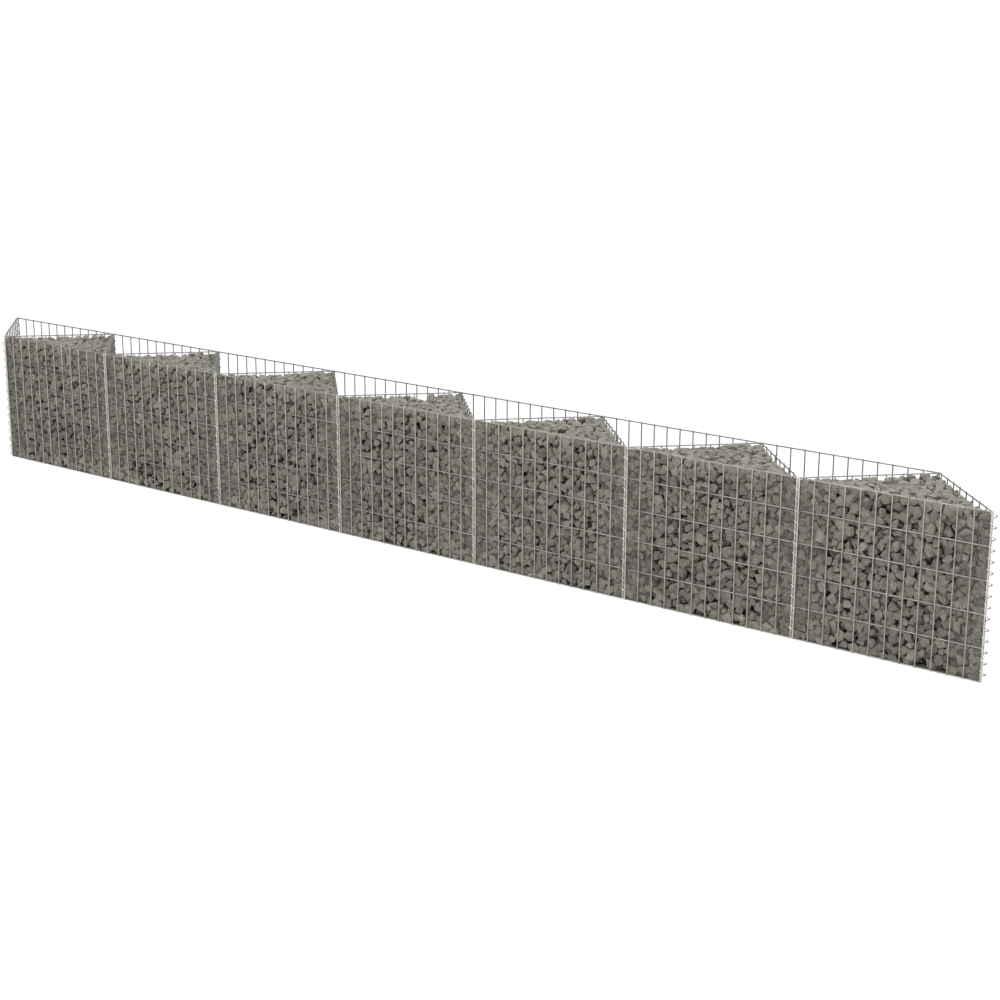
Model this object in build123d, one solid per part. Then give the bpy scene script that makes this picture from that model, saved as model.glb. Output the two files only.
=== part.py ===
from build123d import *
from math import cos, radians, sin
import os

# Gabion wall of welded wire mesh, filled with stone from the front.
# Front and back panels stand half a bay out of step, a zigzag of divider panels joins them,
# and a spiral binder runs down every junction. Only the cells with their wide side to the
# front hold stone. X runs along the wall, the front faces -Y, Z is up, and the origin is at
# the middle of the footprint, on the ground.

# Welded mesh
wire_size = 4.0          # across a mesh wire
column_pitch = 50.0      # from upright to upright in a front or back panel
row_pitch = 100.0        # from cross wire to cross wire, in every panel
bay_columns = 12         # meshes across a front or back panel
divider_columns = 8      # meshes across a divider panel
row_count = 5            # meshes up a panel

# Wall
bay_count = 7
panel_space = 6.0        # open space between neighbouring panels at a junction
wall_depth = 310.0       # front wires to back wires, centre to centre
wire_clearance = 0.3     # between wires that lie side by side at a junction

# Spiral binders
spiral_wire = 3.0        # across a binder's wire
row_turns = 3            # turns between one cross wire and the next
turn_sides = 6           # straight runs in a turn
wire_sides = 4           # sides of a binder wire's section

# Stone fill
fill_clearance = 0.3     # between the stones and the mesh
fill_drop = 10.0         # from the top of the mesh down to the stones along the panels
fill_heap = 2.0          # rise of the stones towards the middle of the cell
heap_share = 0.5         # width of the level crown, as a share of the cell

# Panels and bays
panel_width = bay_columns * column_pitch
panel_height = row_count * row_pitch + wire_size
bay_pitch = panel_width + wire_size + panel_space
front_y = -wall_depth / 2
last_bay_shift = (bay_count - 1 / 2) * bay_pitch / 2

# Corners of a filled cell, from its middle
cell_left = Vector(-bay_pitch / 2, -wall_depth / 3)
cell_right = Vector(bay_pitch / 2, -wall_depth / 3)
cell_apex = Vector(0, wall_depth * 2 / 3)

# Run of a divider, from a front junction to the back junction on its right
divider_run = Vector(bay_pitch / 2, wall_depth)
divider_way = divider_run.normalized()
divider_side = Vector(divider_way.Y, -divider_way.X)
corner_reach = wire_size / 2 * (divider_way.X + divider_way.Y)
divider_seat = max(
    (wire_size / 2 + wire_clearance + corner_reach) / divider_way.Y,
    (wire_clearance / 2 + corner_reach) / divider_way.X,
)
divider_pitch = (divider_run.length - 2 * divider_seat) / divider_columns

# Spiral binder, about an axis midway between the panel wires and the divider wires
spiral_pitch = row_pitch / row_turns
spiral_inset = divider_seat * divider_way.Y / 2
side_angle = 360 / turn_sides
outward_angle = -90


def turned(angle):
    """Unit vector in plan at an angle from the X axis."""
    return Vector(cos(radians(angle)), sin(radians(angle)))


def wire_corners(centre, way, side):
    """Corners in plan of one upright wire."""
    half = wire_size / 2
    return [centre + way * half * a + side * half * b for a in (-1, 1) for b in (-1, 1)]


def bound_wire_reach():
    """How far the wires at a junction stand from the binder's axis, towards the flats of its turns."""
    axis = Vector(0, spiral_inset)
    panel_wire = Vector((panel_space + wire_size) / 2, 0)
    corners = wire_corners(panel_wire, Vector(1, 0), Vector(0, 1))
    corners += wire_corners(divider_way * divider_seat, divider_way, divider_side)
    flats = [turned(outward_angle + side_angle * (k + 1 / 2)) for k in range(turn_sides)]
    return max((corner - axis).dot(flat) for corner in corners for flat in flats)


spiral_reach = bound_wire_reach() + wire_clearance + spiral_wire / 2
spiral_radius = spiral_reach / cos(radians(side_angle / 2))
spiral_outer = spiral_radius + spiral_wire / 2


def front_junction(index):
    """Place in plan where two front panels and two dividers meet."""
    return Vector(index * bay_pitch - last_bay_shift, front_y)


def back_junction(index):
    """Place in plan where two back panels and two dividers meet."""
    return Vector((index - 1 / 2) * bay_pitch - last_bay_shift, -front_y)


def mesh_panel(columns, pitch):
    """Welded mesh standing on the ground: uprights and cross wires, fused where they cross."""
    width = columns * pitch
    uprights = GridLocations(pitch, 0, columns + 1, 1) * Rectangle(wire_size, panel_height)
    cross_wires = GridLocations(0, row_pitch, 1, row_count + 1) * Rectangle(width + wire_size, wire_size)
    grid = Sketch() + uprights + cross_wires
    return Pos(0, 0, panel_height / 2) * extrude(Plane.XZ * grid, wire_size / 2, both=True)


def panel_between(panel, start, end):
    """A panel set midway between two junctions, facing across the line that joins them."""
    middle = (start + end) / 2
    turn = Vector(1, 0).get_signed_angle(end - start, Vector(0, 0, 1))
    return Pos(middle.X, middle.Y) * Rot(0, 0, turn) * panel


def spiral_binder():
    """Left-hand binder about the Z axis, on the outer side of the mesh at the height of every cross wire."""
    steps = range(1, row_count * row_turns * turn_sides)
    points = []
    for step in steps:
        spot = turned(outward_angle - side_angle * step) * spiral_radius
        points.append(spot + Vector(0, 0, wire_size / 2 + spiral_pitch * step / turn_sides))
    section = Plane(origin=points[0], z_dir=points[1] - points[0])
    wire_outline = section * RegularPolygon(spiral_wire / 2, wire_sides)
    return sweep(wire_outline, path=Polyline(*points), transition=Transition.RIGHT)


def front_spirals(binder):
    """Binders down the front junctions."""
    places = [front_junction(k) + Vector(0, spiral_inset) for k in range(bay_count + 1)]
    return Compound(children=[Pos(place) * binder for place in places])


def back_spirals(binder):
    """Binders down the back junctions, turned to face the back."""
    places = [back_junction(k) - Vector(0, spiral_inset) for k in range(bay_count + 1)]
    return Compound(children=[Pos(place) * Rot(0, 0, 180) * binder for place in places])


def corner_cut(spiral_axis, inward):
    """Half plane that takes the stones back from the binder in one corner of the cell."""
    spot = spiral_axis + inward * (spiral_outer + fill_clearance)
    turn = Vector(1, 0).get_signed_angle(inward, Vector(0, 0, 1))
    half_plane = Rectangle(bay_pitch, bay_pitch, align=(Align.MAX, Align.CENTER))
    return Pos(spot.X, spot.Y) * Rot(0, 0, turn) * half_plane


def cell_outline():
    """Plan of the stones in a cell, about its middle: inside the mesh, with the corners cut back."""
    cell = Polygon(cell_left, cell_right, cell_apex, align=None)
    outline = offset(cell, -(wire_size / 2 + fill_clearance), kind=Kind.INTERSECTION)
    inset = Vector(0, spiral_inset)
    left_inward = (Vector(1, 0) + divider_way).normalized()
    right_inward = Vector(-left_inward.X, left_inward.Y)
    outline -= corner_cut(cell_left + inset, left_inward)
    outline -= corner_cut(cell_right + inset, right_inward)
    outline -= corner_cut(cell_apex - inset, Vector(0, -1))
    return outline.face()


def stone_fill():
    """Stones of a cell, about its middle: straight sides, and a low heap over the middle."""
    outline = cell_outline()
    shoulder = panel_height - fill_drop
    crown = scale(outline, heap_share)
    sections = [outline, Pos(0, 0, shoulder) * outline, Pos(0, 0, shoulder + fill_heap) * crown]
    return loft(sections, ruled=True)


def zigzag():
    """Junctions in the order in which the dividers join them, from the left end to the right end."""
    junctions = []
    for k in range(bay_count + 1):
        junctions += [back_junction(k), front_junction(k)]
    return junctions


def divider_name(index, count):
    """Name of a divider: the first and last close the ends of the wall."""
    if index == 0:
        return "left_end_panel"
    if index == count - 1:
        return "right_end_panel"
    return f"divider_panel_{index}"


def wall_pieces():
    """Every piece of the wall, by name."""
    pieces = {}
    bay_panel = mesh_panel(bay_columns, column_pitch)
    divider = mesh_panel(divider_columns, divider_pitch)
    binder = spiral_binder()
    fill = stone_fill()
    for bay in range(bay_count):
        number = bay + 1
        pieces[f"front_panel_{number}"] = panel_between(bay_panel, front_junction(bay), front_junction(number))
        pieces[f"back_panel_{number}"] = panel_between(bay_panel, back_junction(bay), back_junction(number))
        pieces[f"stone_fill_{number}"] = Pos(front_junction(bay) - cell_left) * fill
    junctions = zigzag()
    divider_count = len(junctions) - 1
    for k in range(divider_count):
        pieces[divider_name(k, divider_count)] = panel_between(divider, junctions[k], junctions[k + 1])
    pieces["front_spirals"] = front_spirals(binder)
    pieces["back_spirals"] = back_spirals(binder)
    return pieces


os.makedirs("parts", exist_ok=True)
for name, piece in wall_pieces().items():
    export_step(piece, f"parts/{name}.step")
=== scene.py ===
"""Gabion wall: round welded wire, spiral binders and loose stones, dressed round the packed model."""
import math
from typing import NamedTuple

import bmesh
import bpy
import numpy as np
from bpy.props import FloatProperty, FloatVectorProperty, IntProperty, PointerProperty
from mathutils import Matrix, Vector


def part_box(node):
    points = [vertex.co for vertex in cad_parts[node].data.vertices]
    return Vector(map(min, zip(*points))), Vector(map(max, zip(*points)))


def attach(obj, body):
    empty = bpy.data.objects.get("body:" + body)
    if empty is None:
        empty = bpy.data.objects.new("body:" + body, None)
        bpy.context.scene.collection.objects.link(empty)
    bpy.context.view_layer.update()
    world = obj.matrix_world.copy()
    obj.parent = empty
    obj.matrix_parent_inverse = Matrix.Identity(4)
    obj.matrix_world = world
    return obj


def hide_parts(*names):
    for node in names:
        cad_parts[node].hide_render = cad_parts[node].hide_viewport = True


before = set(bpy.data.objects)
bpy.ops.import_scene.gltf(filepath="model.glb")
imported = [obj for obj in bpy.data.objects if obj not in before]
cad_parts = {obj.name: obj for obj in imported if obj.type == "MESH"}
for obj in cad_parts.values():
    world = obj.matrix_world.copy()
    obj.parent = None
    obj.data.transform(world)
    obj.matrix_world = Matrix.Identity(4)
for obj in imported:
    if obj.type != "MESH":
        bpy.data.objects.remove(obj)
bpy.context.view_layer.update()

bl_info = {
    "name": "Gabion wall",
    "version": (1, 0, 0),
    "blender": (4, 5, 0),
    "location": "3D View > Sidebar > Gabion",
    "description": "Builds the wires, spirals and stones of a gabion wall round its packed model",
    "category": "Object",
}

BODY = "root"
BAY_COUNT = sum(name.startswith("front_panel_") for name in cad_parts)


# Lines of the wall in plan, read from the packed panels

class WallPlan:
    """Where the panels and the junctions of the wall stand."""

    def __init__(self):
        low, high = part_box("front_panel_1")
        back_low, back_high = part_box("back_panel_1")
        spiral_low, spiral_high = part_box("front_spirals")
        self.bar = high.y - low.y
        self.height = high.z
        self.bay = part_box("front_panel_2")[0].x - low.x
        half_space = (self.bay - (high.x - low.x)) / 2
        self.front_start = np.array([low.x - half_space, (low.y + high.y) / 2])
        self.back_start = np.array([back_low.x - half_space, (back_low.y + back_high.y) / 2])
        self.spiral_inset = (spiral_low.y + spiral_high.y) / 2 - self.front_start[1]
        self.spiral_reach = (spiral_high.y - spiral_low.y) / 2

    def front(self, index):
        """Front junction, counted from the left end."""
        return self.front_start + np.array([index * self.bay, 0.0])

    def back(self, index):
        """Back junction, counted from the left end."""
        return self.back_start + np.array([index * self.bay, 0.0])

    def along(self, x):
        """How far along the wall a place lies, from 0 at the left end to 1 at the right end."""
        return (x - self.front_start[0]) / (self.bay * BAY_COUNT)

    def levels(self, rows):
        """Heights of the cross wires."""
        return self.bar / 2 + np.arange(rows + 1) * (self.height - self.bar) / rows

    def front_spiral(self, index):
        """Axis of the binder at a front junction."""
        return self.front(index) + np.array([0.0, self.spiral_inset])

    def back_spiral(self, index):
        """Axis of the binder at a back junction."""
        return self.back(index) - np.array([0.0, self.spiral_inset])


def unit(vector):
    """The vector at length 1."""
    return vector / np.linalg.norm(vector)


def panel_edges(node, way, bar):
    """Centres in plan of the first and last upright of a panel that runs along way."""
    low, high = (np.array(corner[:2]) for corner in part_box(node))
    run = (high[0] - low[0] - bar * abs(way[1])) / abs(way[0]) - bar
    middle = (low + high) / 2
    return middle - way * run / 2, middle + way * run / 2


PLAN = WallPlan()


# Settings that a user would change

class MeshSettings(bpy.types.PropertyGroup):
    """Welded mesh."""

    wire: FloatProperty(name="Wire", description="Thickness of the mesh wire",
                        default=PLAN.bar, unit="LENGTH")
    weld: FloatProperty(name="Weld", description="How far two wires sink into each other where they cross",
                        default=0.0007, unit="LENGTH")
    bow: FloatProperty(name="Bow", description="How far a wire may bend out of true between its ends",
                       default=0.0005, unit="LENGTH")
    pull: FloatProperty(name="Pull", description="How far a binder draws a panel's last wire to the junction",
                        default=0.0014, unit="LENGTH")
    bay_columns: IntProperty(name="Bay columns", description="Meshes across a front or back panel",
                             default=12)
    divider_columns: IntProperty(name="Divider columns", description="Meshes across a divider", default=8)
    rows: IntProperty(name="Rows", description="Meshes up a panel", default=5)
    sides: IntProperty(name="Sides", description="Sides of a wire's section", default=8)
    spans: IntProperty(name="Spans", description="Lengths that a wire is divided into", default=4)
    zinc: FloatVectorProperty(name="Zinc", description="Clean zinc of the wires in the light",
                              subtype="COLOR", default=(0.516, 0.497, 0.457))
    # Painted shade: the wires behind are given this darker zinc in place of the shade that falls on them
    shaded_zinc: FloatVectorProperty(name="Shaded zinc", description="Darker zinc of the wires behind",
                                   subtype="COLOR", default=(0.17, 0.17, 0.16))


class SpiralSettings(bpy.types.PropertyGroup):
    """Spiral binders."""

    wire: FloatProperty(name="Wire", description="Thickness of the binder's wire",
                        default=0.003, unit="LENGTH")
    radius: FloatProperty(name="Radius", description="From the axis to the middle of the wire",
                          default=0.0096, unit="LENGTH")
    row_turns: IntProperty(name="Turns", description="Turns between one cross wire and the next", default=3)
    turn_steps: IntProperty(name="Steps", description="Steps in a turn", default=16)
    sides: IntProperty(name="Sides", description="Sides of the wire's section", default=7)
    # Partly painted light: set lighter than the mesh zinc, so that the binder stands out of the shade of its
    # junction
    zinc: FloatVectorProperty(name="Zinc", description="Clean zinc", subtype="COLOR",
                              default=(0.76, 0.735, 0.682))


class StoneSettings(bpy.types.PropertyGroup):
    """Stone fill."""

    smallest: FloatProperty(name="Smallest", description="Width of the smallest stones",
                            default=0.018, unit="LENGTH")
    largest: FloatProperty(name="Largest", description="Width of the largest stones",
                           default=0.0365, unit="LENGTH")
    share: FloatProperty(name="Share", description="Share of the cell that is stone",
                         default=0.66, subtype="FACTOR")
    seen_depth: FloatProperty(name="Seen depth", description="How deep stones are made behind the mesh",
                              default=0.050, unit="LENGTH")
    swell: FloatProperty(name="Swell", description="Size of a stone against the room that it is given",
                         default=1.27)
    rounds: IntProperty(name="Rounds", description="Rounds of pushing the stones apart", default=70)
    seed: IntProperty(name="Seed", description="Seed of the random draws", default=11)
    grey: FloatVectorProperty(name="Grey", description="Common stone", subtype="COLOR",
                              default=(0.246, 0.229, 0.198))
    dark: FloatVectorProperty(name="Dark", description="Darker stone", subtype="COLOR",
                              default=(0.176, 0.166, 0.147))
    pale: FloatVectorProperty(name="Pale", description="Paler stone", subtype="COLOR",
                              default=(0.300, 0.281, 0.246))
    olive: FloatVectorProperty(name="Olive", description="Stone with an olive cast", subtype="COLOR",
                               default=(0.240, 0.226, 0.184))
    brown: FloatVectorProperty(name="Brown", description="Stone with a warm brown cast", subtype="COLOR",
                               default=(0.246, 0.219, 0.186))
    dust: FloatVectorProperty(name="Dust", description="Dust that lies on the top stones", subtype="COLOR",
                              default=(0.350, 0.338, 0.287))


class StageSettings(bpy.types.PropertyGroup):
    """Camera, light and floor."""

    place: FloatVectorProperty(name="Camera", description="Where the camera stands", subtype="TRANSLATION",
                               default=(4.3149, -5.0196, 1.9390))
    pan: FloatProperty(name="Pan", description="Turn of the camera to the left", subtype="ANGLE",
                       default=math.radians(37.613))
    tilt: FloatProperty(name="Tilt", description="How far the camera looks down", subtype="ANGLE",
                        default=math.radians(15.421))
    roll: FloatProperty(name="Roll", description="Lean of the camera", subtype="ANGLE",
                        default=math.radians(0.126))
    lens: FloatProperty(name="Lens", description="Focal length in millimetres", default=68.99)
    sky: FloatProperty(name="Sky", description="Strength of the light from all round", default=0.78)
    key: FloatProperty(name="Key", description="Power of the soft lamp in front", default=170.0, unit="POWER")
    fill: FloatProperty(name="Fill", description="Power of the soft lamp behind", default=170.0, unit="POWER")


# Shader sums

class Signal:
    """A shader value that takes part in Python sums: each operator adds a Math node."""

    def __init__(self, finish, socket):
        self.finish = finish
        self.socket = socket

    def maths(self, operation, first, second):
        """One Math node on two values."""
        node = self.finish.node("ShaderNodeMath", {"operation": operation}, {0: first, 1: second})
        return self.finish.out(node, "Value")

    def __add__(self, other):
        return self.maths("ADD", self, other)

    def __radd__(self, other):
        return self.maths("ADD", other, self)

    def __sub__(self, other):
        return self.maths("SUBTRACT", self, other)

    def __rsub__(self, other):
        return self.maths("SUBTRACT", other, self)

    def __mul__(self, other):
        return self.maths("MULTIPLY", self, other)

    def __rmul__(self, other):
        return self.maths("MULTIPLY", other, self)

    def clipped(self):
        """The value held between 0 and 1."""
        node = self.finish.node("ShaderNodeClamp", {}, {"Value": self})
        return self.finish.out(node, "Result")


class Finish:
    """The node tree of one material or of the world."""

    def __init__(self, owner):
        owner.use_nodes = True
        self.tree = owner.node_tree
        self.tree.nodes.clear()

    def node(self, kind, settings, sockets):
        """A node of any kind: its settings first, then the values or links of its sockets."""
        node = self.tree.nodes.new(kind)
        for name, value in settings.items():
            if name == "stops":
                self.set_stops(node.color_ramp, value)
            else:
                setattr(node, name, value)
        for key, value in sockets.items():
            socket = self.input(node, key)
            if isinstance(value, Signal):
                self.tree.links.new(value.socket, socket)
            else:
                socket.default_value = value
        return node

    @staticmethod
    def input(node, key):
        """An input by its place, identifier or name."""
        if isinstance(key, int):
            return node.inputs[key]
        return next((s for s in node.inputs if s.identifier == key), None) or node.inputs[key]

    @staticmethod
    def set_stops(ramp, stops):
        """The stops of a colour ramp, as pairs of place and colour."""
        while len(ramp.elements) < len(stops):
            ramp.elements.new(1.0)
        for element, (place, colour) in zip(ramp.elements, stops):
            element.position = place
            element.color = (*colour, 1.0)

    def out(self, node, name):
        """An output of a node, ready for sums."""
        found = next((s for s in node.outputs if s.identifier == name), None) or node.outputs[name]
        return Signal(self, found)

    def attribute(self, name):
        """A number stored on the mesh."""
        return self.out(self.node("ShaderNodeAttribute", {"attribute_name": name}, {}), "Fac")

    def noise(self, place, scale, detail=2.0, roughness=0.5):
        """Smooth noise from 0 to 1."""
        sockets = {"Vector": place, "Scale": scale, "Detail": detail, "Roughness": roughness}
        return self.out(self.node("ShaderNodeTexNoise", {}, sockets), "Fac")

    def ramp(self, value, stops):
        """A colour picked from stops by a value."""
        node = self.node("ShaderNodeValToRGB", {"stops": stops}, {"Fac": value})
        return self.out(node, "Color")

    def blend(self, factor, first, second, kind="MIX"):
        """Two colours mixed."""
        sockets = {"Factor_Float": factor, "A_Color": first, "B_Color": second}
        node = self.node("ShaderNodeMix", {"data_type": "RGBA", "blend_type": kind}, sockets)
        return self.out(node, "Result_Color")

    def span(self, value, low, high, to_low=0.0, to_high=1.0):
        """A value moved from one range to another, and held there."""
        sockets = {"Value": value, "From Min": low, "From Max": high, "To Min": to_low, "To Max": to_high}
        return self.out(self.node("ShaderNodeMapRange", {}, sockets), "Result")

    def grey(self, brightness):
        """A grey of that brightness."""
        sockets = {"Red": brightness, "Green": brightness, "Blue": brightness}
        return self.out(self.node("ShaderNodeCombineColor", {}, sockets), "Color")

    def axis(self, vector, name):
        """One coordinate of a vector."""
        return self.out(self.node("ShaderNodeSeparateXYZ", {}, {"Vector": vector}), name)

    def place(self):
        """Place in the wall's own frame."""
        return self.out(self.node("ShaderNodeTexCoord", {}, {}), "Object")

    def bump(self, height, distance, strength):
        """Normal tipped by a height."""
        node = self.node("ShaderNodeBump", {}, {"Height": height, "Distance": distance, "Strength": strength})
        return self.out(node, "Normal")

    def surface(self, shader):
        """Ends the tree in a surface."""
        self.node("ShaderNodeOutputMaterial", {}, {"Surface": shader})


# Zinc and stone: lengths in metres, and noise by its scale

SHADE_FROM = 0.015          # behind the front wires, where painted shade starts to darken the zinc
SHADE_TO = 0.050            # behind the front wires, where the zinc is in full painted shade
PATINA_SCALE = 38.0
BLOOM_SCALE = 420.0
GRAIN_SCALE = 900.0
GRAIN_DEPTH = 0.0002
MOTTLE_SCALE = 85.0
SPECKLE_SCALE = 520.0
STONE_RELIEF = 0.0022
DUST_SCALE = 11.0
DUST_FROM = 0.075          # below the top of the mesh, where dust starts to lie
DUST_TO = 0.025            # below the top of the mesh, where it lies all over


def opaque(colour):
    """A colour with an alpha of 1."""
    return (*colour, 1.0)


def zinc_finish(name, unshaded, shaded):
    """Hot-dip zinc, unshaded in front and darkened behind by painted shade: clouded with patina, and darkened
    or lifted by painted light as its wires say.
    """
    material = bpy.data.materials.new(name)
    finish = Finish(material)
    place = finish.place()
    front = PLAN.front_start[1]
    # Painted shade: the zinc darkens from the front wires backwards, and where a wire carries painted shade
    # of its own
    behind = finish.span(finish.axis(place, "Y"), front + SHADE_FROM, front + SHADE_TO)
    painted_shade = (behind + finish.attribute("weather")).clipped()
    metal = finish.blend(painted_shade, opaque(unshaded), opaque(shaded))
    # Painted light where a wire's value is below 0, and a darkening where it is above
    painted_light_and_darkening = 1.0 - finish.attribute("dullness")
    cloud = finish.span(finish.noise(place, PATINA_SCALE, 4.0, 0.6), 0.38, 0.66)
    bloom = finish.span(finish.noise(place, BLOOM_SCALE, 3.0, 0.6), 0.56, 0.74)
    shade = finish.grey(painted_light_and_darkening * (1.05 - cloud * 0.28 + bloom * 0.1))
    grain = finish.noise(place, GRAIN_SCALE, 3.0, 0.6)
    shader = finish.node("ShaderNodeBsdfPrincipled", {}, {
        "Base Color": finish.blend(1.0, metal, shade, "MULTIPLY"),
        "Metallic": 0.55 - cloud * 0.2,
        "Roughness": 0.42 + cloud * 0.2 + bloom * 0.1,
        "Normal": finish.bump(grain, GRAIN_DEPTH, 0.35),
    })
    finish.surface(finish.out(shader, "BSDF"))
    return material


def stone_finish(settings):
    """Crushed stone: each stone has its own tint, and a tone that carries its painted shade and light,
    mottled and grained, with dust on the top ones.
    """
    material = bpy.data.materials.new("mixed_crushed_stone")
    finish = Finish(material)
    wall_place = finish.place()
    tint = finish.attribute("stone_tint")
    # The stone's tone carries painted shade and light as well as its own random tone
    tone_with_painted_shading = finish.attribute("stone_tone")
    shift = finish.node("ShaderNodeCombineXYZ", {}, {"X": tint * 7.0, "Y": tone_with_painted_shading * 9.0, "Z": tint * 5.0})
    shifted = finish.node("ShaderNodeVectorMath", {"operation": "ADD"},
                          {0: wall_place, 1: finish.out(shift, "Vector")})
    stone_place = finish.out(shifted, "Vector")
    stone = finish.ramp(tint, [
        (0.0, settings.dark), (0.22, settings.grey), (0.5, settings.grey), (0.68, settings.pale),
        (0.8, settings.grey), (0.88, settings.olive), (0.95, settings.brown), (1.0, settings.grey),
    ])
    mottle = finish.span(finish.noise(stone_place, MOTTLE_SCALE, 4.0, 0.65), 0.32, 0.68)
    speckle = finish.noise(stone_place, SPECKLE_SCALE, 2.0, 0.6)
    shade = finish.grey(0.22 + tone_with_painted_shading * 0.34 + mottle * 0.5 + speckle * 0.4)
    stone = finish.blend(1.0, stone, shade, "MULTIPLY")
    normal = finish.out(finish.node("ShaderNodeNewGeometry", {}, {}), "Normal")
    upward = finish.span(finish.axis(normal, "Z"), -0.1, 0.7)
    top = finish.span(finish.axis(wall_place, "Z"), PLAN.height - DUST_FROM, PLAN.height - DUST_TO)
    patch = finish.span(finish.noise(wall_place, DUST_SCALE, 2.0, 0.5), 0.42, 0.58, 0.55, 1.0)
    dusty = upward * top * patch * finish.span(mottle, 0.0, 1.0, 0.62, 0.92)
    relief = mottle * 0.7 + speckle * 0.3
    shader = finish.node("ShaderNodeBsdfPrincipled", {}, {
        "Base Color": finish.blend(dusty, stone, opaque(settings.dust)),
        "Roughness": finish.span(speckle, 0.3, 0.7, 0.78, 0.95),
        "Normal": finish.bump(relief, STONE_RELIEF, 0.6),
        "Specular IOR Level": 0.3,
    })
    finish.surface(finish.out(shader, "BSDF"))
    return material


# Meshes from arrays

WIRE_CREASE = math.radians(50)
COIL_CREASE = math.radians(60)
STONE_CREASE = math.radians(28)
CUT_SHARE = 0.3            # chamfer of a cut end, as a share of the wire's radius
STEEP = 0.8                # rise of a wire's way from which it counts as upright


def mesh_from_arrays(name, points, triangles, crease):
    """A smooth mesh of triangles, with creases where faces meet more sharply than an angle."""
    mesh = bpy.data.meshes.new(name)
    mesh.vertices.add(len(points))
    mesh.vertices.foreach_set("co", points.astype(np.float32).ravel())
    mesh.loops.add(triangles.size)
    mesh.loops.foreach_set("vertex_index", triangles.astype(np.int32).ravel())
    mesh.polygons.add(len(triangles))
    mesh.polygons.foreach_set("loop_start", np.arange(0, triangles.size, 3, dtype=np.int32))
    mesh.polygons.foreach_set("use_smooth", np.ones(len(triangles), dtype=bool))
    mesh.update(calc_edges=True)
    mesh.set_sharp_from_angle(angle=crease)
    return mesh


def store(mesh, name, values):
    """Numbers kept on a mesh, one a point."""
    layer = mesh.attributes.new(name, "FLOAT", "POINT")
    layer.data.foreach_set("value", values.astype(np.float32))


def add_piece(name, mesh, material, node):
    """A finished piece that rides on the wall and stands for its packed node."""
    mesh.materials.append(material)
    piece = bpy.data.objects.new(name, mesh)
    bpy.context.scene.collection.objects.link(piece)
    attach(piece, BODY)
    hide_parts(node)
    return piece


def tube(path, radius, sides):
    """A round wire along a path, with a small chamfer at each cut end: points and triangles."""
    chamfer = radius * CUT_SHARE
    first = path[0] + unit(path[1] - path[0]) * chamfer
    last = path[-1] + unit(path[-2] - path[-1]) * chamfer
    line = np.vstack([path[:1], first[None], path[1:-1], last[None], path[-1:]])
    girth = np.full(len(line), radius)
    girth[[0, -1]] = radius - chamfer
    way = np.gradient(line, axis=0)
    way /= np.linalg.norm(way, axis=1)[:, None]
    spare = np.array([0.0, 0.0, 1.0]) if abs(way[0][2]) < STEEP else np.array([1.0, 0.0, 0.0])
    across = np.cross(way, spare)
    across /= np.linalg.norm(across, axis=1)[:, None]
    over = np.cross(way, across)
    angles = np.arange(sides) * (2 * math.pi / sides)
    ring = np.cos(angles)[None, :, None] * across[:, None] + np.sin(angles)[None, :, None] * over[:, None]
    points = (line[:, None] + ring * girth[:, None, None]).reshape(-1, 3)
    count = len(line)
    near = np.arange(count - 1)[:, None] * sides + np.arange(sides)[None]
    beside = np.arange(count - 1)[:, None] * sides + (np.arange(sides)[None] + 1) % sides
    wall = np.stack([near, beside, near + sides, beside, beside + sides, near + sides], axis=-1)
    fan = np.stack([np.zeros(sides - 2, int), np.arange(1, sides - 1), np.arange(2, sides)], axis=1)
    end = (count - 1) * sides + fan
    return points, np.vstack([wall.reshape(-1, 3), fan[:, ::-1], end])


def joined(parts):
    """Several sets of points and triangles as one."""
    points, triangles, start = [], [], 0
    for part_points, part_triangles in parts:
        points.append(part_points)
        triangles.append(part_triangles + start)
        start += len(part_points)
    return np.vstack(points), np.vstack(triangles)


# Welded mesh panels

FRONT_SEED = 101
BACK_SEED = 202
DIVIDER_SEED = 303
ASKEW = np.array([0.3, 0.5, 0.8])        # a direction that no wire runs along
END_PAINTED_LIGHT = -0.4                      # of a panel's first and last upright: painted light that lifts them out of the junction's shade
UPRIGHT_DARKENING = 0.12                  # of the other uprights, at the right end of the wall
LIGHTER_DIVIDERS = (2, 6)                # dividers between which their painted shade comes up to full
LIGHTER_SHARES = (0.4, 0.0)              # how much less painted shade those two have


def bowed(start, end, spans, bow, rng):
    """A wire from start to end, a little out of true between them."""
    share = np.linspace(0.0, 1.0, spans + 1)[:, None]
    way = unit(end - start)
    side = unit(np.cross(way, ASKEW))
    bend = side * rng.uniform(-bow, bow) + np.cross(way, side) * rng.uniform(-bow, bow)
    return start + (end - start) * share + bend * np.sin(share * math.pi)


class PanelKind(NamedTuple):
    """What sets a row of panels apart: meshes across, pull of the binders and darkening of its cross wires.
    """

    columns: int
    pull: float
    left_darkening: float
    right_darkening: float

    def dullness(self, points):
        """Darkening of cross wires at points along the wall."""
        return self.left_darkening + (self.right_darkening - self.left_darkening) * PLAN.along(points[:, 0])


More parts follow.
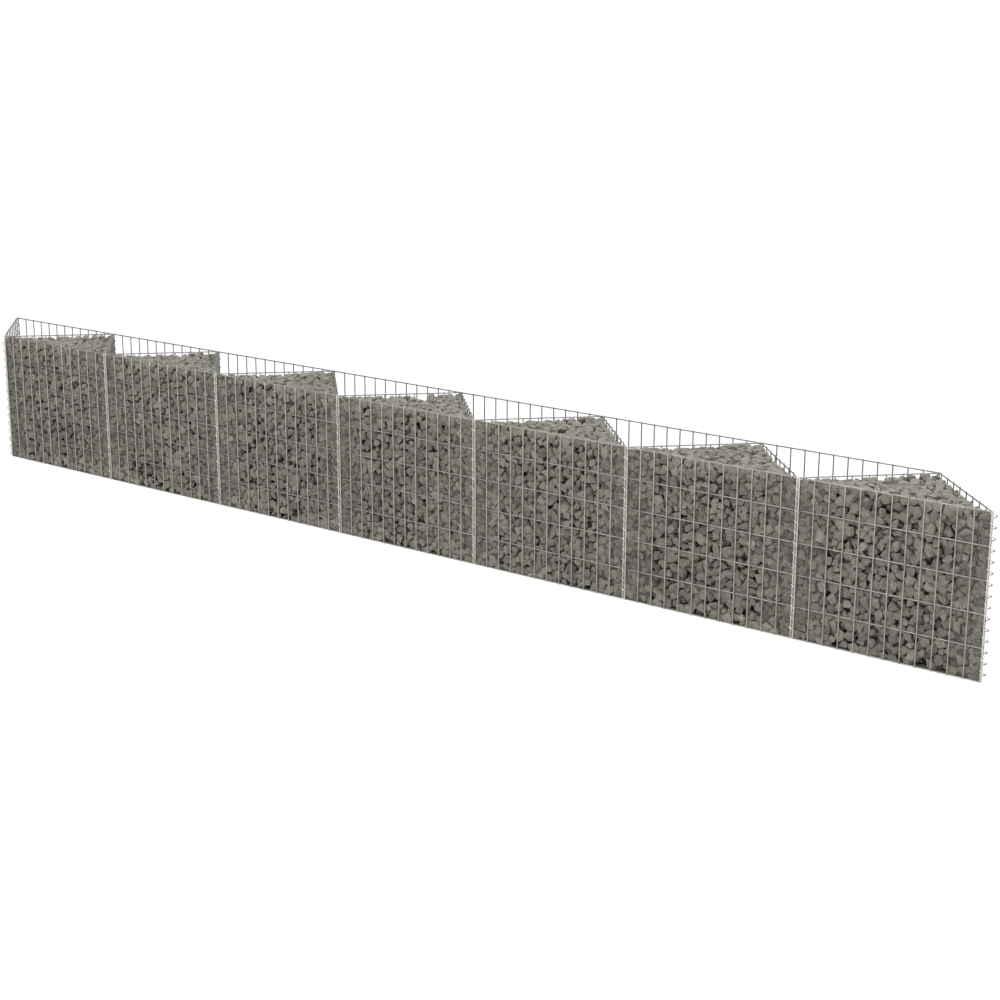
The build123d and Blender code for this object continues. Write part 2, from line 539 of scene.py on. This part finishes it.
def panel_wires(first, last, outward, kind, settings, rng):
    """Uprights on the outer side and cross wires on the inner side: points, triangles, and darkening with
    painted light.
    """
    layer = (settings.wire - settings.weld) / 2
    way = unit(last - first)
    half = settings.wire / 2
    parts, dullness = [], []
    for k in range(kind.columns + 1):
        is_last = k == kind.columns
        drawn = way * kind.pull * is_last
        spot = first + (last - first) * k / kind.columns + drawn + outward * layer
        foot, head = np.array([*spot, 0.0]), np.array([*spot, PLAN.height])
        parts.append(tube(bowed(foot, head, settings.spans, settings.bow, rng), half, settings.sides))
        # Painted light on the first and last uprights; a darkening of the others towards the right end
        painted_light_and_darkening = END_PAINTED_LIGHT if k == 0 or is_last else UPRIGHT_DARKENING * PLAN.along(spot[0])
        dullness.append(np.full(len(parts[-1][0]), painted_light_and_darkening))
    for level in PLAN.levels(settings.rows):
        start = np.array([*(first - way * half - outward * layer), level])
        end = np.array([*(last + way * half - outward * layer), level])
        parts.append(tube(bowed(start, end, settings.spans, settings.bow, rng), half, settings.sides))
        dullness.append(kind.dullness(parts[-1][0]))
    return (*joined(parts), np.concatenate(dullness))


def add_panel(node, way, outward, kind, settings, material, rng):
    """The wires of one panel."""
    first, last = panel_edges(node, way, PLAN.bar)
    points, triangles, dullness = panel_wires(first, last, outward, kind, settings, rng)
    mesh = mesh_from_arrays(f"{node}_wires", points, triangles, WIRE_CREASE)
    store(mesh, "dullness", dullness)
    return add_piece(f"{node}_wires", mesh, material, node)


def add_panel_row(row, outward, kind, settings, seed):
    """The panels along the front or the back of the wall."""
    material = zinc_finish(f"{row}_zinc_wire", settings.zinc, settings.shaded_zinc)
    rng = np.random.default_rng(seed)
    for number in range(1, BAY_COUNT + 1):
        add_panel(f"{row}_panel_{number}", np.array([1.0, 0.0]), outward, kind, settings, material, rng)


class GABION_OT_front_panels(bpy.types.Operator):
    """Weld the front panels"""

    bl_idname = "gabion.front_panels"
    bl_label = "Front panels"

    def execute(self, context):
        settings = context.scene.gabion_mesh
        kind = PanelKind(settings.bay_columns, settings.pull, left_darkening=0.50, right_darkening=0.12)
        add_panel_row("front", np.array([0.0, -1.0]), kind, settings, FRONT_SEED)
        return {"FINISHED"}


class GABION_OT_back_panels(bpy.types.Operator):
    """Weld the back panels"""

    bl_idname = "gabion.back_panels"
    bl_label = "Back panels"

    def execute(self, context):
        settings = context.scene.gabion_mesh
        kind = PanelKind(settings.bay_columns, settings.pull, left_darkening=0.22, right_darkening=-0.9)
        add_panel_row("back", np.array([0.0, 1.0]), kind, settings, BACK_SEED)
        return {"FINISHED"}


class GABION_OT_dividers(bpy.types.Operator):
    """Weld the zigzag of dividers and the two end panels"""

    bl_idname = "gabion.dividers"
    bl_label = "Dividers"

    def execute(self, context):
        settings = context.scene.gabion_mesh
        # Painted shade: dividers that run from the front backwards keep unshaded zinc; the others and both
        # end panels darken behind the front
        unshaded = zinc_finish("unshaded_zinc_wire", settings.zinc, settings.zinc)
        shaded_finish = zinc_finish("shaded_zinc_wire", settings.zinc, settings.shaded_zinc)
        kind = PanelKind(settings.divider_columns, pull=0.0, left_darkening=0.38, right_darkening=0.15)
        rng = np.random.default_rng(DIVIDER_SEED)
        junctions = [spot for k in range(BAY_COUNT + 1) for spot in (PLAN.back(k), PLAN.front(k))]
        count = len(junctions) - 1
        for k in range(count):
            node = {0: "left_end_panel", count - 1: "right_end_panel"}.get(k, f"divider_panel_{k}")
            way = unit(junctions[k + 1] - junctions[k])
            backward = np.array([-way[1], way[0]]) * np.sign(way[0])
            outward = -backward if k == 0 else backward
            material = unshaded if way[1] > 0 else shaded_finish
            piece = add_panel(node, way, outward, kind, settings, material, rng)
            # Painted shade: the first dividers that run to the front are given less of it
            if k > 0 and way[1] < 0:
                lighter = np.interp(k, LIGHTER_DIVIDERS, LIGHTER_SHARES)
                store(piece.data, "weather", np.full(len(piece.data.vertices), -lighter))
        return {"FINISHED"}


# Spiral binders

END_TURN = 0.12            # share of a turn that is left out at each end of a binder
UNSHADED_REACH = 0.0038       # to the sides of a junction, as far as a binder is left without painted shade
RIGHT_REACH = 0.0075       # the same on the right of a junction inside the wall
SHADING_WIDTH = 0.003       # over which painted shade comes in on the zinc


def coil(axis, start_angle, settings):
    """One binder: a round left-hand coil, on the outer side at the height of every cross wire."""
    rows = bpy.context.scene.gabion_mesh.rows
    pitch = (PLAN.height - PLAN.bar) / rows / settings.row_turns
    turns = rows * settings.row_turns
    turn = np.linspace(END_TURN, turns - END_TURN, int(turns * settings.turn_steps))
    angle = start_angle - turn * 2 * math.pi
    path = np.stack([
        axis[0] + settings.radius * np.cos(angle),
        axis[1] + settings.radius * np.sin(angle),
        PLAN.bar / 2 + turn * pitch,
    ], axis=1)
    return tube(path, settings.wire / 2, settings.sides)


class GABION_OT_spirals(bpy.types.Operator):
    """Wind the spiral binders down the junctions"""

    bl_idname = "gabion.spirals"
    bl_label = "Spirals"

    def execute(self, context):
        settings = context.scene.gabion_spiral
        shaded = context.scene.gabion_mesh.shaded_zinc
        material = zinc_finish("spiral_zinc_wire", settings.zinc, shaded)
        rows = (
            ("front_spirals", PLAN.front_spiral, -math.pi / 2),
            ("back_spirals", PLAN.back_spiral, math.pi / 2),
        )
        for node, axis_at, start_angle in rows:
            coils = [coil(axis_at(k), start_angle, settings) for k in range(BAY_COUNT + 1)]
            points, triangles = joined(coils)
            mesh = mesh_from_arrays(f"{node}_coils", points, triangles, COIL_CREASE)
            left, right = axis_at(0), axis_at(BAY_COUNT)
            # Painted shade: a binder darkens at the sides of its junction and on its loops past the ends of
            # the wall
            aside = (points[:, 0] - left[0] + PLAN.bay / 2) % PLAN.bay - PLAN.bay / 2
            past_end = (points[:, 0] < left[0]) | (points[:, 0] > right[0])
            behind = (points[:, 1] - left[1]) * past_end
            unshaded = np.where((aside > 0.0) & ~past_end, RIGHT_REACH, UNSHADED_REACH)
            store(mesh, "weather", np.clip((np.abs(aside) + behind - unshaded) / SHADING_WIDTH, 0.0, 1.0))
            add_piece(f"{node}_coils", mesh, material, node)
        return {"FINISHED"}


# Room for the stones

TINY = 1e-9                # keeps a distance of nothing from dividing


def fading(distance, width, level_share=0.0):
    """1 near by, and falling to 0 over a width that starts after a level share of it."""
    return np.clip(1.0 + level_share - distance / width, 0.0, 1.0)


class StoneCell:
    """The room for stones in one bay: three mesh walls, three binders and a heaped top."""

    # Heap, in metres, with its waves in radians a metre: corners in the order left, right, back
    wall_gap = 0.0004
    crown_rise = 0.001
    crown_width = 0.07
    corner_widths = np.array([0.09, 0.09, 0.13])
    corner_rises = np.array([0.006, 0.006, 0.009])
    corner_level_share = 0.3
    wave_height = 0.002
    wave_along, wave_across, wave_skew = 23.0, 31.0, 9.0
    right_drop = 0.009
    right_drop_width = 0.03
    right_level_share = 0.2

    # Stones held in the corners: ranges to draw from
    wedged_count = 4
    wedged_spread = (0.8, 1.2)
    wedged_inset = (0.015, 0.019)
    wedged_radius_share = 0.56
    wedged_rise = 0.004
    lodged_start = (0.006, 0.014)
    lodged_radius = (0.013, 0.016)
    lodged_inset = (0.031, 0.036)
    lodged_step_share = (1.55, 1.8)
    lodged_drop = 0.008

    # How far stones give way to what they lie against
    kept_share = 0.72
    wire_room_share = 0.55
    binder_room_share = 0.55
    wall_press_share = 0.94
    top_press_share = 0.8
    top_slack = 0.001

    def __init__(self, bay, mesh_settings):
        left, right, apex = PLAN.front(bay), PLAN.front(bay + 1), PLAN.back(bay + 1)
        self.corners = np.array([left, right, apex])
        self.wire = mesh_settings.wire
        self.wire_room = mesh_settings.wire * self.wire_room_share
        self.notch = mesh_settings.wire - mesh_settings.weld
        self.rows = PLAN.levels(mesh_settings.rows)
        inset = mesh_settings.weld / 2 + self.wall_gap
        self.walls = []
        for start, end in ((left, right), (right, apex), (apex, left)):
            way = unit(end - start)
            outward = np.array([way[1], -way[0]])
            self.walls.append((outward, outward @ start - inset))
        self.spirals = [PLAN.front_spiral(bay), PLAN.front_spiral(bay + 1), PLAN.back_spiral(bay + 1)]
        low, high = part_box(f"stone_fill_{bay + 1}")
        self.floor = low.z
        self.crown = high.z
        self.shoulder = self.crown - self.crown_rise

    def depth(self, places):
        """How far places lie inside the nearest mesh wall."""
        return np.min([limit - places[:, :2] @ outward for outward, limit in self.walls], axis=0)

    def top(self, places):
        """Height of the heap over places: uneven, higher in the corners, and falling away on the right."""
        x, y = places[:, 0], places[:, 1]
        slope = np.clip(self.depth(places) / self.crown_width, 0.0, 1.0)
        wave = np.sin(x * self.wave_along) * np.sin(y * self.wave_across + x * self.wave_skew)
        heap = (self.crown - self.shoulder) * slope + self.wave_height * wave
        away = np.linalg.norm(places[:, None, :2] - self.corners, axis=2)
        rises = self.corner_rises * fading(away, self.corner_widths, self.corner_level_share)
        outward, limit = self.walls[1]
        drop = self.right_drop * fading(limit - places[:, :2] @ outward, self.right_drop_width,
                                        self.right_level_share)
        drop *= np.clip(away[:, 1] / self.corner_widths[1], 0.0, 1.0)
        return self.shoulder + np.maximum(heap, rises.max(axis=1)) - drop

    def volume(self):
        """Room inside the walls."""
        first, second = self.corners[1] - self.corners[0], self.corners[2] - self.corners[0]
        return abs(first[0] * second[1] - first[1] * second[0]) / 2 * self.shoulder

    def scatter(self, count, rng):
        """Places spread evenly through the cell."""
        share = rng.uniform(size=(count, 2))
        over = share.sum(axis=1) > 1
        share[over] = 1 - share[over]
        plan = self.corners[0] + share[:, :1] * (self.corners[1] - self.corners[0])
        plan = plan + share[:, 1:] * (self.corners[2] - self.corners[0])
        return np.column_stack([plan, rng.uniform(0.0, self.shoulder, count)])

    def inner_corners(self, inset=0.0):
        """Corners of the mesh walls or at an inset from them, each with the way that leads in from it."""
        for k in range(3):
            (first, first_limit), (second, second_limit) = self.walls[k - 1], self.walls[k]
            limits = np.array([first_limit, second_limit]) - inset
            yield np.linalg.solve(np.array([first, second]), limits), -unit(first + second)

    def plan(self, inset):
        """Triangle of the cell at an inset from the mesh walls."""
        return np.array([corner for corner, _ in self.inner_corners(inset)])

    def corner_plans(self, inset, length):
        """A triangle in each corner, at an inset from the mesh walls, with two sides of a length."""
        near = self.plan(inset)
        return [np.array([near[k], *(near[k] + unit(near[j % 3] - near[k]) * length for j in (k + 1, k + 2))])
                for k in range(3)]

    def wedged(self, rng):
        """Small stones stuck in each corner between one cross wire and the next: places and radii."""
        places, radii = [], []
        for corner, inward in self.inner_corners():
            for low, high in zip(self.rows[:-1], np.minimum(self.rows[1:], self.shoulder + self.wedged_rise)):
                cuts = np.cumsum(np.append(0.0, rng.uniform(*self.wedged_spread, self.wedged_count)))
                cuts = low + (high - low) * cuts / cuts[-1]
                for foot, head in zip(cuts[:-1], cuts[1:]):
                    places.append([*(corner + inward * rng.uniform(*self.wedged_inset)), (foot + head) / 2])
                    radii.append((head - foot) * self.wedged_radius_share)
        return np.array(places), np.array(radii)

    def lodged(self, rng):
        """The next stones in from those in the corners: places and radii."""
        places, radii = [], []
        for corner, inward in self.inner_corners():
            level = self.floor + rng.uniform(*self.lodged_start)
            while level < self.shoulder - self.lodged_drop:
                radius = rng.uniform(*self.lodged_radius)
                places.append([*(corner + inward * rng.uniform(*self.lodged_inset)), level])
                radii.append(radius)
                level += radius * rng.uniform(*self.lodged_step_share)
        return np.array(places), np.array(radii)

    def confine(self, places, radii):
        """Moves places so that balls of those radii stay inside, but for the side that is pressed flat."""
        kept = radii * self.kept_share
        for outward, limit in self.walls:
            past = np.maximum(places[:, :2] @ outward + kept - limit, 0.0)
            places[:, :2] -= past[:, None] * outward
        places[:, 2] = np.clip(places[:, 2], self.floor + kept, self.top(places) - kept)

    def press(self, points, is_wedged):
        """Flattens what would pass the mesh, a binder, the ground or the top of the heap."""
        middle = points.mean(axis=1)
        low, high = np.full(len(points), self.floor), self.top(middle) + self.top_slack
        reach, notch = PLAN.spiral_reach, 0.0
        if is_wedged:
            row = np.clip(np.searchsorted(self.rows, middle[:, 2]), 1, len(self.rows) - 1)
            low = self.rows[row - 1] + self.wire_room
            high = np.minimum(high, self.rows[row] - self.wire_room)
            reach = PLAN.spiral_reach * self.binder_room_share
        else:
            lowest = points[:, :, 2].min(axis=1) - self.wire / 2
            highest = points[:, :, 2].max(axis=1) + self.wire / 2
            crossed = (self.rows > lowest[:, None]) & (self.rows < highest[:, None])
            notch = crossed.any(axis=1)[:, None] * self.notch
        for axis in self.spirals:
            away = points[:, :, :2] - axis
            distance = np.linalg.norm(away, axis=2) + TINY
            points[:, :, :2] += away * (np.maximum(reach - distance, 0.0) / distance)[:, :, None]
        for outward, limit in self.walls:
            past = np.maximum(points[:, :, :2] @ outward - (limit - notch), 0.0)
            points[:, :, :2] -= past[:, :, None] * outward * self.wall_press_share
        points[:, :, 2] -= np.maximum(points[:, :, 2] - high[:, None], 0.0) * self.top_press_share
        points[:, :, 2] = np.maximum(points[:, :, 2], low[:, None])
        return points


# Stones

CUBE_SHARE = 1.08          # mean volume of the stones against that of a stone of the mean width
MIDDLING = 1.6             # how much the middle sizes prevail
PAIR_ROUNDS = 5            # rounds between two searches for stones that touch
PUSH_SHARE = 0.42          # of an overlap, by which each of two stones moves in a round
FACET_TILT = 0.22          # spread of the planes along which a stone breaks
FACET_HEIGHTS = (0.72, 1.0)
UNEVENNESS = (0.98, 1.02)
STRETCH = (0.8, 1.2)
SHOWN_KINDS = 48           # shapes of the stones that show, with their facets and worn edges
SHOWN_FACETS = 9
SHOWN_WEAR = 0.16
DEEP_KINDS = 16            # shapes of the stones behind them
DEEP_FACETS = 7
SHOWN_DEPTH = 0.007        # under which a stone counts as one that shows
# Tones of the stones: below 1 is painted shade, darker for the stones wedged in the corners and for those
# deeper in the cell
WEDGED_SHADE_TONE = 0.9
SHOWN_TONE = 1.0
DEEP_SHADE_TONE = 0.5
CORNER_SHADE_TONE = 0.6           # painted shade, by which stones are darker at the front junctions
CORNER_SHADE_WIDTH = 0.07
FOOT_LIGHT_TONE = 0.6            # painted light, by which stones are paler at the foot of the wall
FOOT_HEIGHT = 0.025
FOOT_LEVEL_SHARE = 1.2

# Dark fill behind the stones, painted shade that closes the view into the gaps, in metres
CORE_SHARE = 0.8           # depth of their core, as a share of the depth to which stones are made
BED_INSET = 0.0045
BED_HEIGHT = 0.004
CORNER_FILLS = ((0.008, 0.08), (0.0031, 0.016))        # inset from the mesh, and length along it
ROW_FILL = (0.0008, 0.008)                             # the same, between one cross wire and the next
FILL_RISES = np.array([0.001, -0.02, -0.02])           # over the heap's edge: left, right and back corner


def near_pairs(places, radii, slack):
    """Pairs of balls that touch or nearly touch."""
    square = (places ** 2).sum(axis=1)
    distance = square[:, None] + square[None] - 2 * places @ places.T
    reach = (radii[:, None] + radii[None] + slack) ** 2
    first, second = np.nonzero(distance < reach)
    keep = first < second
    return first[keep], second[keep]


def packed_balls(cell, settings, rng):
    """Balls pushed apart until they fill the cell as loose stones do: places, radii, and which are wedged."""
    span = settings.largest - settings.smallest
    mean_volume = math.pi / 6 * ((settings.smallest + settings.largest) / 2) ** 3 * CUBE_SHARE
    count = int(cell.volume() * settings.share / mean_volume)
    wedged, wedged_radii = cell.wedged(rng)
    lodged, lodged_radii = cell.lodged(rng)
    held = np.vstack([wedged, lodged])
    loose_radii = (settings.smallest + span * rng.beta(MIDDLING, MIDDLING, count)) / 2
    radii = np.concatenate([wedged_radii, lodged_radii, loose_radii])
    places = np.vstack([held, cell.scatter(count, rng)])
    slack = settings.smallest / 3
    for turn in range(settings.rounds):
        if turn % PAIR_ROUNDS == 0:
            first, second = near_pairs(places, radii, slack)
        apart = places[first] - places[second]
        distance = np.linalg.norm(apart, axis=1) + TINY
        push = np.maximum(radii[first] + radii[second] - distance, 0.0) * PUSH_SHARE
        step = apart / distance[:, None] * push[:, None]
        np.add.at(places, first, step)
        np.add.at(places, second, -step)
        cell.confine(places, radii)
        places[:len(held)] = held
    return places, radii, np.arange(len(places)) < len(wedged)


def hull(points):
    """The triangles of the convex hull of points, seen anticlockwise from outside."""
    work = bmesh.new()
    for point in points:
        work.verts.new(point)
    work.verts.index_update()
    bmesh.ops.convex_hull(work, input=work.verts[:])
    bmesh.ops.triangulate(work, faces=work.faces[:])
    work.normal_update()
    triangles = np.array([[v.index for v in face.verts] for face in work.faces])
    outward = np.array([face.normal.dot(face.calc_center_median()) for face in work.faces])
    triangles[outward < 0] = triangles[outward < 0][:, ::-1]
    work.free()
    return triangles


def crushed_shape(facets, wear, rng):
    """A stone broken along planes, its edges worn by a share of each face, about 1 in radius."""
    step = np.arange(facets) + 0.5
    polar, turn = np.arccos(1 - 2 * step / facets), math.pi * (1 + math.sqrt(5)) * step
    planes = np.stack([np.cos(turn) * np.sin(polar), np.sin(turn) * np.sin(polar), np.cos(polar)], axis=1)
    planes += rng.normal(scale=FACET_TILT, size=planes.shape)
    planes /= np.linalg.norm(planes, axis=1)[:, None]
    heights = rng.uniform(*FACET_HEIGHTS, facets)
    meeting = hull(planes / heights[:, None])
    corners = np.linalg.solve(planes[meeting], heights[meeting][:, :, None])[:, :, 0]
    faces = [corners[(meeting == k).any(axis=1)] for k in range(facets) if (meeting == k).any()]
    points = np.vstack([face + (face.mean(axis=0) - face) * wear for face in faces])
    triangles = hull(points)
    used, triangles = np.unique(triangles, return_inverse=True)
    points = points[used] * rng.uniform(*UNEVENNESS, size=(len(used), 1))
    return points / np.linalg.norm(points, axis=1).mean(), triangles.reshape(-1, 3)


def turned_at_random(points, rng):
    """Each stone's points turned by a random rotation."""
    quaternion = rng.normal(size=(len(points), 4))
    quaternion /= np.linalg.norm(quaternion, axis=1)[:, None]
    w, x, y, z = quaternion.T
    rotation = np.stack([
        1 - 2 * (y * y + z * z), 2 * (x * y - z * w), 2 * (x * z + y * w),
        2 * (x * y + z * w), 1 - 2 * (x * x + z * z), 2 * (y * z - x * w),
        2 * (x * z - y * w), 2 * (y * z + x * w), 1 - 2 * (x * x + y * y),
    ], axis=1).reshape(-1, 3, 3)
    return np.einsum("sij,spj->spi", rotation, points)


def prism(plan, floor, top):
    """An upright prism on three points, taken anticlockwise."""
    points = np.vstack([np.column_stack([plan, np.full(3, level)]) for level in (floor, top)])
    sides = [[k, (k + 1) % 3, 3 + k] for k in range(3)]
    sides += [[(k + 1) % 3, 3 + (k + 1) % 3, 3 + k] for k in range(3)]
    return points, np.array(sides + [[3, 4, 5], [2, 1, 0]])


def cell_shade_fill(cell, seen_depth):
    """Dark fill, painted shade, that closes the view behind the stones: a core, a bed and fillings for each
    corner.
    """
    tops = cell.shoulder + FILL_RISES
    core = seen_depth * CORE_SHARE
    parts = [
        prism(cell.plan(core), cell.floor, cell.shoulder - core),
        prism(cell.plan(BED_INSET), cell.floor, BED_HEIGHT),
    ]
    for inset, length in CORNER_FILLS:
        parts += [prism(plan, cell.floor, top) for plan, top in zip(cell.corner_plans(inset, length), tops)]
    for low, high in zip(cell.rows[:-1] + cell.wire_room, cell.rows[1:] - cell.wire_room):
        parts += [prism(plan, low, min(high, top)) for plan, top in zip(cell.corner_plans(*ROW_FILL), tops)]
    return joined(parts)


def cell_stones(bay, settings, mesh_settings, shapes):
    """All stones of a bay that show, and the dark fill of painted shade behind: points, triangles, tint, and
    tone with painted shade and light.
    """
    rng = np.random.default_rng(settings.seed + bay)
    cell = StoneCell(bay, mesh_settings)
    places, radii, wedged = packed_balls(cell, settings, rng)
    below = np.minimum(cell.depth(places), cell.top(places) - places[:, 2])
    shown = (below - radii < SHOWN_DEPTH) & ~wedged
    deep = (below < settings.seen_depth) & ~shown & ~wedged
    # Painted shade on stones near the two front junctions, and painted light on those at the foot of the wall
    aside = np.linalg.norm(places[:, None, :2] - cell.corners[:2], axis=2).min(axis=1)
    painted_shade_and_light = CORNER_SHADE_TONE * fading(aside, CORNER_SHADE_WIDTH)
    painted_shade_and_light -= FOOT_LIGHT_TONE * fading(places[:, 2], FOOT_HEIGHT, FOOT_LEVEL_SHARE)
    shown_shapes, deep_shapes = shapes
    layers = (
        (wedged, shown_shapes, WEDGED_SHADE_TONE),
        (shown, shown_shapes, SHOWN_TONE),
        (deep, deep_shapes, DEEP_SHADE_TONE),
    )
    parts, tints, tones_with_painted_shading = [], [], []
    for chosen, kinds, bright in layers:
        pick = np.where(chosen, rng.integers(len(kinds), size=len(places)), -1)
        for kind, (shape, triangles) in enumerate(kinds):
            these = pick == kind
            count = int(these.sum())
            points = shape[None] * rng.uniform(*STRETCH, size=(count, 1, 3))
            points = turned_at_random(points, rng) * radii[these][:, None, None] * settings.swell
            points = cell.press(points + places[these][:, None], chosen is wedged)
            starts = np.arange(count)[:, None, None] * len(shape)
            parts.append((points.reshape(-1, 3), (triangles[None] + starts).reshape(-1, 3)))
            tints.append(np.repeat(rng.uniform(size=count), len(shape)))
            tones_with_painted_shading.append(np.repeat(rng.uniform(size=count) * bright - painted_shade_and_light[these], len(shape)))
    # The dark fill, painted shade, with the darkest tint and no tone
    parts.append(cell_shade_fill(cell, settings.seen_depth))
    tints.append(np.zeros(len(parts[-1][0])))
    tones_with_painted_shading.append(np.zeros(len(parts[-1][0])))
    return (*joined(parts), np.concatenate(tints), np.concatenate(tones_with_painted_shading))


class GABION_OT_stones(bpy.types.Operator):
    """Fill the front cells with loose stones"""

    bl_idname = "gabion.stones"
    bl_label = "Stones"

    def execute(self, context):
        settings = context.scene.gabion_stone
        mesh_settings = context.scene.gabion_mesh
        material = stone_finish(settings)
        rng = np.random.default_rng(settings.seed)
        shown = [crushed_shape(SHOWN_FACETS, SHOWN_WEAR, rng) for _ in range(SHOWN_KINDS)]
        deep = [crushed_shape(DEEP_FACETS, 0.0, rng) for _ in range(DEEP_KINDS)]
        for bay in range(BAY_COUNT):
            node = f"stone_fill_{bay + 1}"
            points, triangles, tint, tone_with_painted_shading = cell_stones(bay, settings, mesh_settings, (shown, deep))
            mesh = mesh_from_arrays(f"{node}_stones", points, triangles, STONE_CREASE)
            store(mesh, "stone_tint", tint)
            store(mesh, "stone_tone", tone_with_painted_shading)
            add_piece(f"{node}_stones", mesh, material, node)
        return {"FINISHED"}


# Stage

WHITE = (1.0, 1.0, 1.0, 1.0)
FLOOR_COLOUR = (0.9, 0.9, 0.9, 1.0)
FLOOR_GLOW = 1.08
GLOW_SHARE = 0.85          # of the floor's look that is glow, so that it runs into the background
FLOOR_REACH = 60.0
LAMP_SIZE = (9.0, 3.0)
FRONT_LAMP_PLACE = (1.1, -4.5, 5.5)
FRONT_LAMP_TILT = math.radians(40)
BACK_LAMP_PLACE = (1.5, 5.0, 2.6)
BACK_LAMP_TILT = math.radians(-65)
SENSOR_WIDTH = 36.0        # millimetres


def seen_directly(finish):
    """1 where the eye, a mirror or glass looks, and 0 for light that only falls on things."""
    path = finish.node("ShaderNodeLightPath", {}, {})
    rays = [finish.out(path, f"Is {kind} Ray") for kind in ("Camera", "Glossy", "Transmission")]
    return (rays[0] + rays[1] + rays[2]).clipped()


def white_world(strength):
    """White to look at, and a plain soft light from all round."""
    world = bpy.data.worlds.new("soft_white_room")
    finish = Finish(world)
    seen = seen_directly(finish)
    light = finish.node("ShaderNodeBackground", {}, {
        "Color": WHITE,
        "Strength": strength + seen * (1.0 - strength),
    })
    finish.node("ShaderNodeOutputWorld", {}, {"Surface": finish.out(light, "Background")})
    return world


def floor_finish():
    """Pale floor that runs into the white background and keeps a faint shadow."""
    material = bpy.data.materials.new("pale_floor")
    finish = Finish(material)
    matt = finish.node("ShaderNodeBsdfDiffuse", {}, {"Color": FLOOR_COLOUR})
    glow = finish.node("ShaderNodeEmission", {}, {"Color": WHITE, "Strength": FLOOR_GLOW})
    both = finish.node("ShaderNodeMixShader", {}, {
        "Fac": seen_directly(finish) * GLOW_SHARE,
        1: finish.out(matt, "BSDF"),
        2: finish.out(glow, "Emission"),
    })
    finish.surface(finish.out(both, "Shader"))
    return material


def add_floor():
    """A wide level floor under the wall."""
    points = FLOOR_REACH * np.array([[-1, -1, 0], [1, -1, 0], [1, 1, 0], [-1, 1, 0]])
    mesh = mesh_from_arrays("floor", points, np.array([[0, 1, 2], [0, 2, 3]]), math.pi)
    mesh.materials.append(floor_finish())
    floor = bpy.data.objects.new("floor", mesh)
    bpy.context.scene.collection.objects.link(floor)


def add_lamp(name, power, place, tilt):
    """A broad soft lamp, high over one side of the wall."""
    light = bpy.data.lights.new(name, "AREA")
    light.shape = "RECTANGLE"
    light.size, light.size_y = LAMP_SIZE
    light.energy = power
    lamp = bpy.data.objects.new(name, light)
    lamp.matrix_world = Matrix.Translation(place) @ Matrix.Rotation(tilt, 4, "X")
    bpy.context.scene.collection.objects.link(lamp)


def add_camera(settings):
    """Camera at the photograph's angle."""
    lens = bpy.data.cameras.new("camera")
    lens.lens = settings.lens
    lens.sensor_width = SENSOR_WIDTH
    camera = bpy.data.objects.new("camera", lens)
    turn = Matrix.Rotation(settings.pan, 4, "Z") @ Matrix.Rotation(math.pi / 2 - settings.tilt, 4, "X")
    camera.matrix_world = Matrix.Translation(settings.place) @ turn @ Matrix.Rotation(settings.roll, 4, "Z")
    bpy.context.scene.collection.objects.link(camera)
    bpy.context.scene.camera = camera


class GABION_OT_stage(bpy.types.Operator):
    """Set the floor, the light and the camera"""

    bl_idname = "gabion.stage"
    bl_label = "Stage"

    def execute(self, context):
        settings = context.scene.gabion_stage
        context.scene.view_settings.view_transform = "Standard"
        context.scene.world = white_world(settings.sky)
        add_floor()
        add_lamp("front_lamp", settings.key, FRONT_LAMP_PLACE, FRONT_LAMP_TILT)
        add_lamp("back_lamp", settings.fill, BACK_LAMP_PLACE, BACK_LAMP_TILT)
        add_camera(settings)
        return {"FINISHED"}


# Sidebar and registration

OPERATORS = (
    GABION_OT_front_panels, GABION_OT_back_panels, GABION_OT_dividers,
    GABION_OT_spirals, GABION_OT_stones, GABION_OT_stage,
)
GROUPS = {
    "gabion_mesh": MeshSettings,
    "gabion_spiral": SpiralSettings,
    "gabion_stone": StoneSettings,
    "gabion_stage": StageSettings,
}


class GABION_PT_sidebar(bpy.types.Panel):
    """Sizes, colours and steps of the gabion wall"""

    bl_label = "Gabion wall"
    bl_idname = "GABION_PT_sidebar"
    bl_space_type = "VIEW_3D"
    bl_region_type = "UI"
    bl_category = "Gabion"

    def draw(self, context):
        for name, group in GROUPS.items():
            box = self.layout.box()
            box.label(text=group.__doc__)
            for key in group.__annotations__:
                box.prop(getattr(context.scene, name), key)
        for operator in OPERATORS:
            self.layout.operator(operator.bl_idname)


def register():
    """Adds the settings, the steps and the sidebar."""
    for cls in (*GROUPS.values(), *OPERATORS, GABION_PT_sidebar):
        bpy.utils.register_class(cls)
    for name, group in GROUPS.items():
        setattr(bpy.types.Scene, name, PointerProperty(type=group))


def unregister():
    """Takes them away again."""
    for name in GROUPS:
        delattr(bpy.types.Scene, name)
    for cls in (GABION_PT_sidebar, *OPERATORS, *GROUPS.values()):
        bpy.utils.unregister_class(cls)


def main():
    """Builds the wall step by step."""
    register()
    bpy.ops.gabion.front_panels()
    bpy.ops.gabion.back_panels()
    bpy.ops.gabion.dividers()
    bpy.ops.gabion.spirals()
    bpy.ops.gabion.stones()
    bpy.ops.gabion.stage()


if __name__ == "__main__":
    main()
